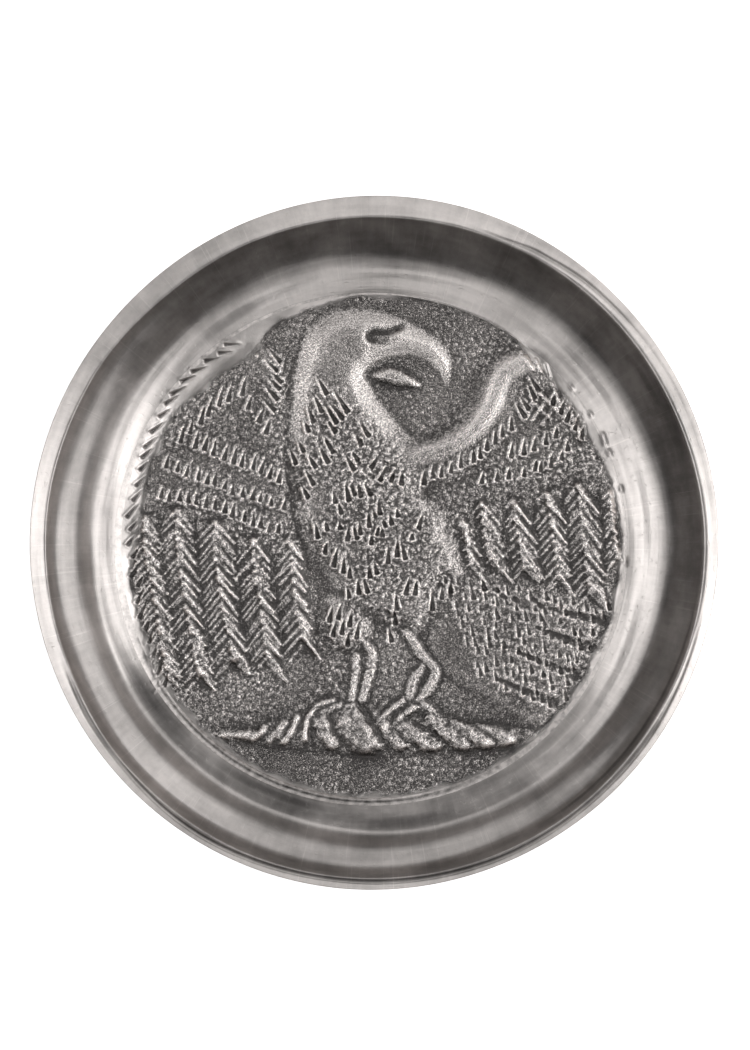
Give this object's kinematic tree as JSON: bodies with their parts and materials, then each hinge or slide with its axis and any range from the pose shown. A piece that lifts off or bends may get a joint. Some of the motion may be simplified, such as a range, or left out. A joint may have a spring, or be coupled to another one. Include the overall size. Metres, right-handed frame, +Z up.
{
  "type": "relief dish",
  "caption": "Shallow round cast-metal dish with a rolled lip and a rough relief of an eagle on rocks in its floor, for pins, keys or coins.",
  "frame": {"origin": "middle of the dish, on the surface that its foot ring stands on", "axes": "+Z up out of the dish, +Y towards the top of the relief, +X the way the eagle looks"},
  "size_m": [0.11, 0.11, 0.015],
  "materials": {
    "buffed_pewter": "buffed",
    "cast_pewter": "rough cast",
    "soft_solder": "satin"
  },
  "bodies": {
    "root": {"dish_body": "buffed_pewter", "relief_medallion": "cast_pewter", "solder_seam": "soft_solder"}
  },
  "joints": []
}
